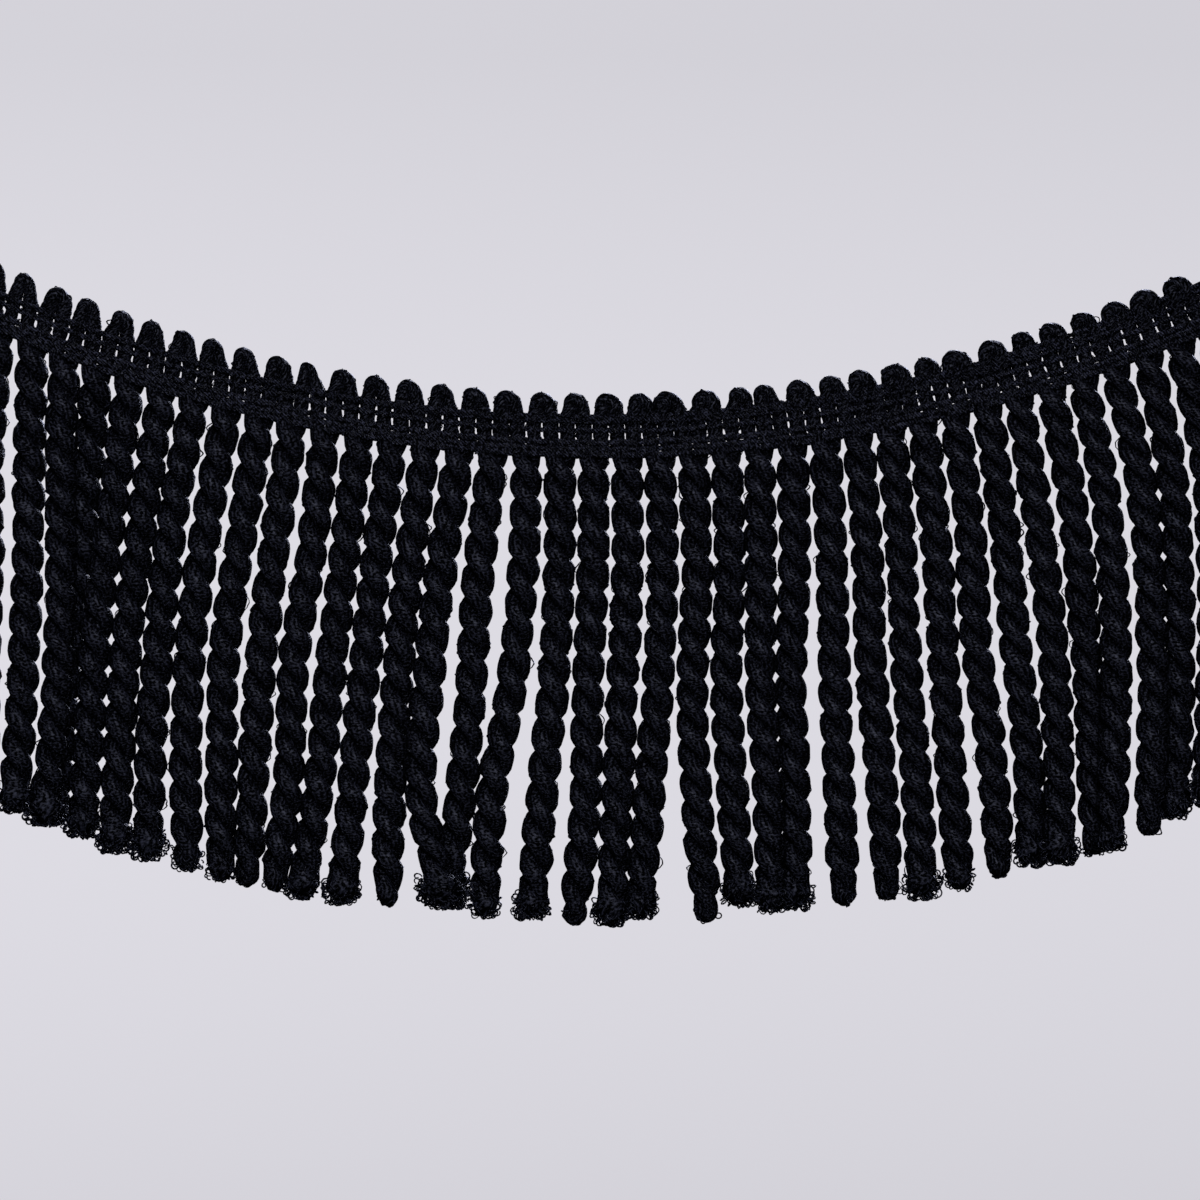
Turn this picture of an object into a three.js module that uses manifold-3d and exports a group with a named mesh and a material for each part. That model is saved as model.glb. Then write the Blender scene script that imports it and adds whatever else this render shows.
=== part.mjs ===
// Bullion fringe trim: a roping yarn laid to and fro, bound by chain rows, its loops twisted into cords.
// It hangs in a shallow swag. Millimetres, +Z up, front towards -Y, origin at the swag's lowest scallop top.
import * as THREE from "three";
import { mergeVertices } from "three/addons/utils/BufferGeometryUtils.js";
import Module from "manifold-3d";

// The swag: two hanging curves, along the scallop tops and along the heading's lower edge.
const TOP_SWAG = 275;
const HEADING_HEIGHT = 12.5;
const BOTTOM_SWAG = TOP_SWAG + HEADING_HEIGHT;

// Stations are counted in pitches along the heading: a scallop at every whole one, a cord at every half.
// They lie closer towards the ends, where the heading climbs. Each mark is the place of a station, two thirds of
// the way down the heading. The legs lean outwards, more with each station from the middle one.
const FIRST_CORD = -1;
const MARK_COLUMNS = ["station", "x"];
const MARK_ROWS = [
  [-2, -126.5],
  [0, -114],
  [9, -57.5],
  [18, 1],
  [26, 52],
  [36, 114],
  [37, 120],
];
const MARKS = MARK_ROWS.map((row) =>
  Object.fromEntries(MARK_COLUMNS.map((column, i) => [column, row[i]])),
);
const MARK_SHARE = 0.68;
const MIDDLE_STATION = 18;
const MIDDLE_LEAN = 1.0;
const LEAN_STEP = 0.18;

// The heading: yarn legs side by side, with a flat back that is sewn to cloth.
const HEADING_THICKNESS = 2.4;
const LEG_RIB = 0.7;
const SCALLOP_HEIGHT = 4.4;
const COLUMNS_PER_PITCH = 4;
const SCALLOP_OUTLINE = [1, 0.82, 0, 0.82];
const RIB_PROFILE = [0, 1, 0, 1];
const CUT_END_OUTLINE = 0.3;

// A cord: two plies laid round each other, seen as a four-sided bar turned a quarter at every step.
const CORD_WIDTH = 5.2;
const CORD_DEPTH = 4.0;
const CORD_STEPS = 28;
const STEP_TURN = Math.PI / 2;
const CORD_SIDES = 4;
const ROOT_SINK = 0.5;
const ROOT_FLATNESS = 0.4;

// How a cord's lower end looks: its girth just above the end and at the end, as shares of the cord's own.
const END_GIRTH = {
  round: { above: 1, tip: 0.6 },
  soft: { above: 1.04, tip: 0.8 },
  frayed: { above: 1.08, tip: 1.1 },
};

// The chain rows: how far below the scallop tops each one runs, and how wide its stitches are.
const CHAIN_THICKNESS = 0.6;
const CHAIN_GAP = 0.3;
const CHAIN_ROWS = [
  { name: "chain_row_1", below: 5.2, width: 1.2 },
  { name: "chain_row_2", below: 7.3, width: 0.8 },
  { name: "chain_row_3", below: 9.6, width: 1.1 },
  { name: "chain_row_4", below: 11.5, width: 1.8 },
];

// The cords from left to right, as they hang. Sways are sideways from the root, at the quarters of the drop and at
// the end. Front is how far the cord has slipped before its neighbours, and slip the share of the drop it does so in.
const CORD_COLUMNS = ["quarter", "half", "threeQuarters", "end", "drop", "front", "slip", "form"];
const CORD_ROWS = [
  [-2.25, -2.25, -3, -3.5, 91.5, 0, 1, "soft"],
  [-2.25, -2.25, -3, -3.5, 92, 0, 1, "soft"],
  [-0.5, -1, -2, -3.5, 91, 0, 1, "frayed"],
  [-0.5, -0.5, -1.5, -4, 91, 2.9, 0.15, "frayed"],
  [-2.25, -4.5, -6.75, -8.5, 89, -2.9, 0.15, "round"],
  [-3, -6, -7.75, -9.25, 89, 0.6, 0.3, "frayed"],
  [-3.5, -6.5, -8.25, -9.25, 90, 0, 1, "frayed"],
  [-4.25, -6.75, -8.5, -9, 89.5, 0, 1, "frayed"],
  [-4, -7, -8, -7.75, 90, 0, 1, "soft"],
  [-3.5, -6.75, -7.5, -7.5, 90.5, 0, 1, "soft"],
  [-3.25, -6, -7.5, -9, 90, -2.4, 1, "round"],
  [-2.5, -6, -7, -10, 89.5, 2.4, 1, "round"],
  [-2.75, -5.5, -7.75, -11.5, 90, -1.2, 1, "frayed"],
  [-3, -5.5, -7.75, -10, 90, 0, 1, "frayed"],
  [-3.25, -5.5, -7, -7.5, 89.5, 0, 1, "round"],
  [-3.5, -6, -7.5, -2, 89, 2.9, 1, "frayed"],
  [-2.75, -4.25, -6.25, -9.75, 88, -2.9, 1, "frayed"],
  [-0.75, -3, -7, -8.25, 90, 0, 1, "soft"],
  [-0.25, -1.5, -3.75, -5.75, 90, 0, 1, "frayed"],
  [-0.25, -1.25, -1.75, -4, 91, 0, 1, "round"],
  [0, -1, -2, -3.25, 91, 2.6, 0.85, "frayed"],
  [0.5, -0.5, -2.25, -4.25, 90, -2.6, 0.85, "frayed"],
  [0.75, -0.25, 0.75, 2.75, 91, 0, 1, "round"],
  [0.75, 0, 1.25, 2.75, 88.5, -1.4, 0.6, "frayed"],
  [0.25, 0.25, 1.75, 2.25, 90, 2.6, 0.55, "frayed"],
  [0.5, -0.25, 0.5, 0.75, 90.5, -2.6, 0.55, "frayed"],
  [1.25, 1.75, 2.75, 3.75, 90.5, 0, 1, "round"],
  [1.75, 2.5, 4.5, 5.75, 90.5, 0, 1, "round"],
  [2, 3, 5, 6.25, 91.5, 0, 1, "frayed"],
  [2.5, 4, 5.5, 7.25, 91, 0, 1, "soft"],
  [3, 4.25, 7.25, 8.75, 90, 0, 1, "round"],
  [3.25, 5.5, 8, 9, 89.5, -2.9, 1, "frayed"],
  [3.5, 6.25, 7.5, 7.75, 90.5, 2.9, 1, "frayed"],
  [4.25, 6.5, 8, 8.75, 91, -2.9, 0.65, "soft"],
  [4.25, 6, 6, 5, 92, 2.9, 0.65, "soft"],
  [5, 6.75, 7.25, 6.25, 91, 2.6, 0.55, "round"],
  [4.75, 6.25, 6.25, 5.25, 90, -2.6, 0.55, "frayed"],
  [5, 6.5, 6.25, 5, 90, 0, 1, "frayed"],
  [5, 6.5, 6.25, 5.25, 90.5, 0, 1, "soft"],
];
const CORDS = CORD_ROWS.map((row) =>
  Object.fromEntries(CORD_COLUMNS.map((column, i) => [column, row[i]])),
);

const wasm = await Module();
wasm.setup();

const yarn = new THREE.MeshStandardMaterial({ color: 0x0d0d12, roughness: 0.85, metalness: 0 });
const thread = new THREE.MeshStandardMaterial({ color: 0x101016, roughness: 0.7, metalness: 0 });

// Height of a hanging curve above its lowest point, x from the middle.
function swag(x, parameter) {
  return parameter * (Math.cosh(x / parameter) - 1);
}

// Where a station lies along the heading, between the two marks around it.
function markedPlace(station) {
  const next = MARKS.findIndex((mark, i) => i > 0 && station <= mark.station);
  const [start, end] = [MARKS[next - 1], MARKS[next]];
  const share = (station - start.station) / (end.station - start.station);
  return THREE.MathUtils.lerp(start.x, end.x, share);
}

// A place on the heading's middle plane: at a station along it, and some way below the scallop tops.
function headingPoint(station, below) {
  const lean = MIDDLE_LEAN + (station - MIDDLE_STATION) * LEAN_STEP;
  const topX = markedPlace(station) - MARK_SHARE * lean;
  const bottomX = topX + lean;
  const topZ = swag(topX, TOP_SWAG);
  const bottomZ = swag(bottomX, BOTTOM_SWAG) - HEADING_HEIGHT;
  const share = below / HEADING_HEIGHT;
  return {
    x: THREE.MathUtils.lerp(topX, bottomX, share),
    z: THREE.MathUtils.lerp(topZ, bottomZ, share),
  };
}

// Moves every point of a geometry by a function of its old place, in place.
function movePoints(geometry, move) {
  const places = geometry.attributes.position;
  for (let i = 0; i < places.count; i++) {
    const moved = move(places.getX(i), places.getY(i), places.getZ(i));
    places.setXYZ(i, moved.x, moved.y, moved.z);
  }
  return geometry;
}

// A closed geometry as a solid that can be joined to others.
function solidOf(geometry) {
  const bare = geometry.clone();
  bare.deleteAttribute("normal");
  bare.deleteAttribute("uv");
  const merged = mergeVertices(bare);
  const mesh = new wasm.Mesh({
    numProp: 3,
    vertProperties: new Float32Array(merged.attributes.position.array),
    triVerts: new Uint32Array(merged.index.array),
  });
  return new wasm.Manifold(mesh);
}

// A joined solid as a geometry again.
function geometryOf(solid) {
  const mesh = solid.getMesh();
  const geometry = new THREE.BufferGeometry();
  geometry.setAttribute("position", new THREE.BufferAttribute(mesh.vertProperties, 3));
  geometry.setIndex(new THREE.BufferAttribute(mesh.triVerts, 1));
  geometry.computeVertexNormals();
  return geometry;
}

const firstStation = FIRST_CORD - 1;
const lastStation = firstStation + CORDS.length;

// The heading: a strip with a rib for each leg and a scallop over each gap between two cords.
function headingStrip() {
  const columns = CORDS.length * COLUMNS_PER_PITCH;
  const back = HEADING_THICKNESS / 2;
  return movePoints(new THREE.BoxGeometry(1, 1, 1, columns, 1, 1), (x, y, z) => {
    const column = Math.round((x + 0.5) * columns);
    const phase = column % COLUMNS_PER_PITCH;
    const station = firstStation + column / COLUMNS_PER_PITCH;
    const beyond = station < firstStation + 0.5 || station > lastStation - 0.5;
    const rise = beyond ? Math.min(CUT_END_OUTLINE, SCALLOP_OUTLINE[phase]) : SCALLOP_OUTLINE[phase];
    const below = z > 0 ? SCALLOP_HEIGHT * (1 - rise) : HEADING_HEIGHT;
    const place = headingPoint(station, below);
    const front = back - LEG_RIB * (1 - RIB_PROFILE[phase]);
    return { x: place.x, y: y > 0 ? back : -front, z: place.z };
  });
}

// The line that a cord hangs along, from its root inside the heading to its end.
function cordPath(cord, station) {
  const root = headingPoint(station, HEADING_HEIGHT);
  const sways = [0, cord.quarter, cord.half, cord.threeQuarters, cord.end];
  const points = sways.map((sway, i) => {
    const share = i / (sways.length - 1);
    return new THREE.Vector3(root.x + sway, 0, root.z - share * cord.drop);
  });
  return new THREE.CatmullRomCurve3(points, false, "catmullrom");
}

// A cord: a four-sided bar, turned a quarter at each step, with the girth of its own kind of end.
function cordBar(cord, station) {
  const path = cordPath(cord, station);
  const girth = END_GIRTH[cord.form];
  const bar = new THREE.CylinderGeometry(1, 1, 1, CORD_SIDES, CORD_STEPS);
  bar.rotateX(Math.PI / 2);
  return movePoints(bar, (x, y, z) => {
    const step = Math.round((0.5 - z) * CORD_STEPS);
    const share = step / CORD_STEPS;
    const place = path.getPoint(share);
    const front = cord.front * THREE.MathUtils.smoothstep(share, 0, cord.slip);
    const fromEnd = CORD_STEPS - step;
    const size = fromEnd === 0 ? girth.tip : fromEnd === 1 ? girth.above : 1;
    const flatness = step === 0 ? ROOT_FLATNESS : 1;
    const onAxis = x * x + y * y < 0.25;
    const corner = onAxis ? 0 : Math.atan2(x, -y) + Math.PI / 4;
    const wide = onAxis ? 0 : Math.sign(Math.sin(corner)) * (CORD_WIDTH / 2) * size;
    const deep = onAxis ? 0 : -Math.sign(Math.cos(corner)) * (CORD_DEPTH / 2) * size * flatness;
    const turn = step * STEP_TURN;
    const sink = step === 0 ? ROOT_SINK : 0;
    return {
      x: place.x + wide * Math.cos(turn) - deep * Math.sin(turn),
      y: -front + wide * Math.sin(turn) + deep * Math.cos(turn),
      z: place.z + sink,
    };
  });
}

// The roping: the heading with every cord's root fused into its lower edge.
function roping() {
  const start = solidOf(headingStrip());
  const joined = CORDS.reduce(
    (solid, cord, i) => solid.add(solidOf(cordBar(cord, firstStation + i + 0.5))),
    start,
  );
  return geometryOf(joined);
}

// A chain row: a slim rib along the heading's front.
function chainRow(row) {
  const back = -HEADING_THICKNESS / 2 - CHAIN_GAP;
  return movePoints(new THREE.BoxGeometry(1, 1, 1, CORDS.length, 1, 1), (x, y, z) => {
    const station = firstStation + (x + 0.5) * CORDS.length;
    const place = headingPoint(station, row.below - z * row.width);
    return { x: place.x, y: y > 0 ? back : back - CHAIN_THICKNESS, z: place.z };
  });
}

const trim = new THREE.Group();
const fringe = new THREE.Mesh(roping(), yarn);
fringe.name = "bullion_fringe";
trim.add(fringe);
for (const row of CHAIN_ROWS) {
  const chain = new THREE.Mesh(chainRow(row), thread);
  chain.name = row.name;
  trim.add(chain);
}

export default trim;
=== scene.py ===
# %% [markdown]
# # Bullion fringe trim
# The trim is one thick black yarn, laid to and fro. Its upper turns are the scallops, its legs side by side
# are the heading, and each long loop below is twisted up on itself into a cord. Fine threads in chain stitch
# bind the legs. This lesson follows the yarn in that order, because the mesh is made as the real thing is.
# The packed solids come first, and each piece made below takes the place of one of them.

# %% Load the packed trim
import math

import bpy
import numpy as np
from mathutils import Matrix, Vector


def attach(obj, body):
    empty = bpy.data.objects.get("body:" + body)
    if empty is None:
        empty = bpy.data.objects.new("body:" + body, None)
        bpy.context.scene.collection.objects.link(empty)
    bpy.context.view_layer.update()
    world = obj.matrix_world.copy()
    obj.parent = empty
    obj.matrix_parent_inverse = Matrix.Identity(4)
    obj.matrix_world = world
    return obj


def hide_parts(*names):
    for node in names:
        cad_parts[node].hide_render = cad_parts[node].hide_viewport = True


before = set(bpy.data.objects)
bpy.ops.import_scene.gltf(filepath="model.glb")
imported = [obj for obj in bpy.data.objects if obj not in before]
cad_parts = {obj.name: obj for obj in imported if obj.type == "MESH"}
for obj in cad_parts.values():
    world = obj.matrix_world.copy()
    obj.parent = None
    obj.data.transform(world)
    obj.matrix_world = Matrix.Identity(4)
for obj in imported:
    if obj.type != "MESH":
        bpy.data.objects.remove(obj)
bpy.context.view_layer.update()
bpy.ops.object.select_all(action="DESELECT")
print("solids:", sorted(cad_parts))

# %% [markdown]
# The photograph looks straight at the trim from far away, so nothing converges. A long lens does the same
# here. The frame is 234 mm wide at the trim, which leaves the ends of the length just outside it.

# %% Place the camera
FRAME_WIDTH = 0.234
FRAME_MIDDLE = Vector((-0.0008, 0, -0.0402))
CAMERA_DISTANCE = 1.5
SENSOR_MM = 36

place = FRAME_MIDDLE + Vector((0, -CAMERA_DISTANCE, 0))
bpy.ops.object.camera_add(location=place, rotation=(math.radians(90), 0, 0))
camera = bpy.context.object
camera.data.sensor_width = SENSOR_MM
camera.data.lens = SENSOR_MM * CAMERA_DISTANCE / FRAME_WIDTH
bpy.context.scene.camera = camera
print("lens", round(camera.data.lens), "mm")

# %% [markdown]
# Node trees are easier to read as sums. This small class wraps one output socket, so that adding or
# multiplying two of them adds a Math node, and one method adds any other node with its settings and inputs.

# %% Wrap a shader socket
class Wire:
    """One output socket of a node tree, which can be used in sums."""

    def __init__(self, tree, socket=None):
        self.tree = tree
        self.socket = socket

    def add(self, kind, settings=None, inputs=None, output=0):
        """A new node: its settings first, then the values or links of its sockets."""
        node = self.tree.nodes.new(kind)
        for name, value in (settings or {}).items():
            setattr(node, name, value)
        for key, value in (inputs or {}).items():
            self.feed(node.inputs[key], value)
        return Wire(self.tree, node.outputs[output])

    def other(self, name):
        """Another output of the same node."""
        return Wire(self.tree, self.socket.node.outputs[name])

    def feed(self, socket, value):
        if isinstance(value, Wire):
            self.tree.links.new(value.socket, socket)
        else:
            socket.default_value = value

    def math(self, operation, *values):
        return self.add("ShaderNodeMath", {"operation": operation}, dict(enumerate(values)))

    def __add__(self, other):
        return self.math("ADD", self, other)

    def __sub__(self, other):
        return self.math("SUBTRACT", self, other)

    def __rsub__(self, other):
        return self.math("SUBTRACT", other, self)

    def __mul__(self, other):
        return self.math("MULTIPLY", self, other)

    __radd__ = __add__
    __rmul__ = __mul__


print("a wire can:", [name for name in vars(Wire) if "_" not in name])

# %% [markdown]
# The trim hangs before a pale, faintly lavender backdrop that is brightest around the middle. A world colour
# that follows the direction gives this in every view without a seam. Only the camera sees it at full
# strength: the light that it sheds on the yarn is dim, because the room before a bright backdrop is dim too.

# %% Hang the backdrop
BACKDROP = (0.722, 0.710, 0.766, 1)
ROOM_GLOW = 0.02
BRIGHTEST_HEIGHT = -0.006
FALL_OFF = 17
SIDE_FALL = 0.22
DARKEST = 0.9

world = bpy.data.worlds.new("backdrop")
bpy.context.scene.world = world
bpy.context.scene.view_settings.view_transform = "Standard"
world.use_nodes = True
wire = Wire(world.node_tree)
direction = wire.add("ShaderNodeTexCoord")
across = wire.add("ShaderNodeSeparateXYZ", None, {0: direction})
height = across.other("Z") - BRIGHTEST_HEIGHT
glow = wire.math("MAXIMUM", 1 - height * height * FALL_OFF, DARKEST) * (1 - across * SIDE_FALL)
seen = wire.add("ShaderNodeLightPath")
background = world.node_tree.nodes["Background"]
background.inputs["Color"].default_value = BACKDROP
wire.feed(background.inputs["Strength"], seen * glow + (1 - seen) * ROOM_GLOW)
print("backdrop:", BACKDROP[:3])

# %% [markdown]
# A pale floor lies below the trim, out of the camera's sight. It is a disc that thins out towards its rim,
# so that no edge shows where it meets the backdrop. Like a light table it glows, about as brightly as the
# backdrop, but it sheds no light on the yarn, because the photograph shows none from below.

# %% Lay the floor
FLOOR_HEIGHT = -0.35
FLOOR_RADIUS = 1.4
FLOOR_CORE = 0.5
FLOOR_SIDES = 96
FLOOR_COLOUR = (0.74, 0.72, 0.73, 1)
FLOOR_ROUGHNESS = 0.9
FLOOR_GLOW = 0.46


def new_material(name):
    """A material, its shader, and a wire to add nodes with."""
    material = bpy.data.materials.new(name)
    material.use_nodes = True
    return material, material.node_tree.nodes["Principled BSDF"], Wire(material.node_tree)


bpy.ops.mesh.primitive_circle_add(
    vertices=FLOOR_SIDES, radius=FLOOR_RADIUS, fill_type="NGON", location=(0, 0, FLOOR_HEIGHT)
)
bpy.ops.object.transform_apply(location=True)
floor = bpy.context.object
floor.name = "floor"
floor.visible_diffuse = False
floor.visible_glossy = False
paper, shader, wire = new_material("pale_paper")
floor.data.materials.append(paper)
spot = wire.add("ShaderNodeTexCoord", None, None, "Object")
away = wire.add("ShaderNodeVectorMath", {"operation": "LENGTH"}, {0: spot}, "Value")
fade = wire.add(
    "ShaderNodeMapRange",
    {"interpolation_type": "SMOOTHSTEP"},
    {"Value": away, "From Min": FLOOR_CORE, "From Max": FLOOR_RADIUS, "To Min": 1.0, "To Max": 0.0},
)
shader.inputs["Base Color"].default_value = FLOOR_COLOUR
shader.inputs["Roughness"].default_value = FLOOR_ROUGHNESS
shader.inputs["Emission Color"].default_value = FLOOR_COLOUR
shader.inputs["Emission Strength"].default_value = FLOOR_GLOW
wire.feed(shader.inputs["Alpha"], fade)
print("floor:", 2 * FLOOR_RADIUS, "m across")

# %% [markdown]
# Three soft boxes light the yarn. The key light stands in front, high and a little to the right, and a weak
# fill light to the left. The third one lights the back, which is seen in other views.

# %% Set the lights
COOL_WHITE = (0.9, 0.95, 1.25)
SOFT_BOXES = {
    "key": {"place": (0.1, -1.3, 0.6), "size": 0.4, "watts": 13.5},
    "fill": {"place": (-0.9, -0.9, 0.2), "size": 0.5, "watts": 1.2},
    "back": {"place": (0.3, 1.3, 0.5), "size": 0.6, "watts": 10},
}
for name, box in SOFT_BOXES.items():
    bpy.ops.object.light_add(type="AREA", location=box["place"])
    lamp = bpy.context.object
    lamp.name = name
    lamp.data.size = box["size"]
    lamp.data.energy = box["watts"]
    lamp.data.color = COOL_WHITE
    lamp.rotation_euler = (FRAME_MIDDLE - lamp.location).to_track_quat("-Z", "Y").to_euler()
print("lights:", list(SOFT_BOXES))

# %% [markdown]
# The heading hangs in a swag: its top and its lower edge are two hanging curves. Places on it are counted in
# stations, one for each cord: a scallop at every whole station, and a cord at every half. A few marks say
# where some stations lie, two thirds of the way down, and the legs lean outwards towards both ends. The
# sizes are millimetres, and repeat the ones that the solids are made from.

# %% Measure out the swag
TOP_SWAG = 275
HEADING_HEIGHT = 12.5
BOTTOM_SWAG = TOP_SWAG + HEADING_HEIGHT
PITCH = 6.35
FIRST_STATION = -2
MARK_COLUMNS = ("station", "x")
MARK_ROWS = (
    (-2, -126.5), (0, -114), (9, -57.5), (18, 1), (26, 52), (36, 114), (37, 120),
)
marks = dict(zip(MARK_COLUMNS, zip(*MARK_ROWS)))
MARK_SHARE = 0.68
MIDDLE_STATION = 18
MIDDLE_LEAN = 1.0
LEAN_STEP = 0.18


def swag(x, parameter):
    """Height of a hanging curve above its lowest point."""
    return parameter * (np.cosh(x / parameter) - 1)


def heading_point(station, below):
    """Places on the heading's middle plane, at stations along it and some way below the scallop tops."""
    share = np.asarray(below, float) / HEADING_HEIGHT
    marked = np.interp(station, marks["station"], marks["x"])
    lean = MIDDLE_LEAN + LEAN_STEP * (np.asarray(station, float) - MIDDLE_STATION)
    top_x = marked - MARK_SHARE * lean
    bottom_x = top_x + lean
    top_z = swag(top_x, TOP_SWAG)
    bottom_z = swag(bottom_x, BOTTOM_SWAG) - HEADING_HEIGHT
    x = top_x + (bottom_x - top_x) * share
    z = top_z + (bottom_z - top_z) * share
    return np.stack([x, np.zeros_like(x), z], -1)


print("left end of the top edge:", heading_point(FIRST_STATION, 0).round(1), "mm")

# %% [markdown]
# No two cords hang alike. This table has a row for each, from left to right, as they were seen in the
# photograph: how far it sways sideways at the quarters of its drop and at its end, how long it is, how far
# it has slipped before its neighbours and in what share of the drop it does so, and what its lower end looks
# like. A second table says how many millimetres late its twist runs, a quarter and three quarters of the way
# down. The outermost cords hang mostly beyond the frame, and follow their neighbours.

# %% List the cords
CORD_COLUMNS = ("quarter", "half", "three_quarters", "end", "drop", "front", "slip", "form")
CORD_ROWS = (
    (-2.25, -2.25, -3, -3.5, 91.5, 0, 1, "soft"),
    (-2.25, -2.25, -3, -3.5, 92, 0, 1, "soft"),
    (-0.5, -1, -2, -3.5, 91, 0, 1, "frayed"),
    (-0.5, -0.5, -1.5, -4, 91, 2.9, 0.15, "frayed"),
    (-2.25, -4.5, -6.75, -8.5, 89, -2.9, 0.15, "round"),
    (-3, -6, -7.75, -9.25, 89, 0.6, 0.3, "frayed"),
    (-3.5, -6.5, -8.25, -9.25, 90, 0, 1, "frayed"),
    (-4.25, -6.75, -8.5, -9, 89.5, 0, 1, "frayed"),
    (-4, -7, -8, -7.75, 90, 0, 1, "soft"),
    (-3.5, -6.75, -7.5, -7.5, 90.5, 0, 1, "soft"),
    (-3.25, -6, -7.5, -9, 90, -2.4, 1, "round"),
    (-2.5, -6, -7, -10, 89.5, 2.4, 1, "round"),
    (-2.75, -5.5, -7.75, -11.5, 90, -1.2, 1, "frayed"),
    (-3, -5.5, -7.75, -10, 90, 0, 1, "frayed"),
    (-3.25, -5.5, -7, -7.5, 89.5, 0, 1, "round"),
    (-3.5, -6, -7.5, -2, 89, 2.9, 1, "brush"),
    (-2.75, -4.25, -6.25, -9.75, 88, -2.9, 1, "brush"),
    (-0.75, -3, -7, -8.25, 90, 0, 1, "soft"),
    (-0.25, -1.5, -3.75, -5.75, 90, 0, 1, "frayed"),
    (-0.25, -1.25, -1.75, -4, 91, 0, 1, "round"),
    (0, -1, -2, -3.25, 91, 2.6, 0.85, "frayed"),
    (0.5, -0.5, -2.25, -4.25, 90, -2.6, 0.85, "frayed"),
    (0.75, -0.25, 0.75, 2.75, 91, 0, 1, "round"),
    (0.75, 0, 1.25, 2.75, 88.5, -1.4, 0.6, "frayed"),
    (0.25, 0.25, 1.75, 2.25, 90, 2.6, 0.55, "frayed"),
    (0.5, -0.25, 0.5, 0.75, 90.5, -2.6, 0.55, "frayed"),
    (1.25, 1.75, 2.75, 3.75, 90.5, 0, 1, "round"),
    (1.75, 2.5, 4.5, 5.75, 90.5, 0, 1, "round"),
    (2, 3, 5, 6.25, 91.5, 0, 1, "frayed"),
    (2.5, 4, 5.5, 7.25, 91, 0, 1, "soft"),
    (3, 4.25, 7.25, 8.75, 90, 0, 1, "round"),
    (3.25, 5.5, 8, 9, 89.5, -2.9, 1, "frayed"),
    (3.5, 6.25, 7.5, 7.75, 90.5, 2.9, 1, "frayed"),
    (4.25, 6.5, 8, 8.75, 91, -2.9, 0.65, "soft"),
    (4.25, 6, 6, 5, 92, 2.9, 0.65, "soft"),
    (5, 6.75, 7.25, 6.25, 91, 2.6, 0.55, "round"),
    (4.75, 6.25, 6.25, 5.25, 90, -2.6, 0.55, "frayed"),
    (5, 6.5, 6.25, 5, 90, 0, 1, "frayed"),
    (5, 6.5, 6.25, 5.25, 90.5, 0, 1, "soft"),
)
TWIST_COLUMNS = ("upper", "lower")
TWIST_SHARES = (0.25, 0.75)
TWIST_ROWS = (
    (0, 0), (0, 0), (-0.5, -2.5), (0, -2.5), (0.5, 0), (-0.5, -2), (-2.5, -4), (-2.5, -2.5), (0.5, 2),
    (0, -1), (1, 2), (0.5, -1.5), (-1, -2), (-1, -2), (-0.5, -2), (0, 0.5), (0.5, 1.5), (-1.5, -1.5),
    (-1, -1), (-1, -2), (-0.5, -1.5), (-0.5, -0.5), (-1, -3), (0, -1), (-0.5, -1.5), (-0.5, -1), (0.5, 1),
    (0, 1.5), (0, -1.5), (-0.5, -1), (0, 0), (-1, -2), (-1.5, -2.5), (-1.5, -3.5), (-2.5, -3.5),
    (-2.5, -3.5), (0, -0.5), (-0.5, -0.5), (0, 0),
)
cords = [
    dict(zip(CORD_COLUMNS + TWIST_COLUMNS, row + twist)) for row, twist in zip(CORD_ROWS, TWIST_ROWS)
]
print(len(cords), "cords")

# %% [markdown]
# The line that a cord hangs along is a smooth curve through its root and its four sways. It also comes
# forward or back a little where cords cross.

# %% Draw the line of a cord
def smooth_step(x):
    x = np.clip(x, 0, 1)
    return x * x * (3 - 2 * x)


def smooth_curve(values, shares):
    """A curve through evenly spaced values, which leaves each one along the line between its neighbours."""
    values = np.asarray(values, float)
    padded = np.concatenate([[2 * values[0] - values[1]], values, [2 * values[-1] - values[-2]]])
    place = np.clip(shares, 0, 1) * (len(values) - 1)
    i = np.minimum(place.astype(int), len(values) - 2)
    t = place - i
    before, start, end, after = (padded[i + k] for k in range(4))
    slope_in = (end - before) / 2
    slope_out = (after - start) / 2
    rise = end - start
    squared = 3 * rise - 2 * slope_in - slope_out
    cubed = slope_in + slope_out - 2 * rise
    return start + t * (slope_in + t * (squared + t * cubed))


def hang_line(cord, station, shares):
    """Places on a cord's middle line, at shares of its drop."""
    root = heading_point(station, HEADING_HEIGHT)
    sways = [0, cord["quarter"], cord["half"], cord["three_quarters"], cord["end"]]
    x = root[0] + smooth_curve(sways, shares)
    y = -cord["front"] * smooth_step(shares / cord["slip"])
    return np.stack([x, y, root[2] - shares * cord["drop"]], -1)


first_end = hang_line(cords[0], FIRST_STATION + 0.5, np.array([1.0]))[0]
print("the first cord ends at", first_end.round(1), "mm")

# %% [markdown]
# Now the yarn itself. Half of one loop runs from the top of a scallop, over its shoulder, down a leg of the
# heading, round and round its twin in the cord, and under the cord's end. The other half goes back up in the
# same way. At each step the yarn has a middle point, a direction that points away from the cord's middle
# line, a direction of travel that its ring stands square to, two half widths, and how far the cord has
# turned.
#
# The scallop comes first: a quarter of a turn about a point below its top. A table has a row for each
# scallop, from left to right: how far it has slid along the heading, and how wide it is.

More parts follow.
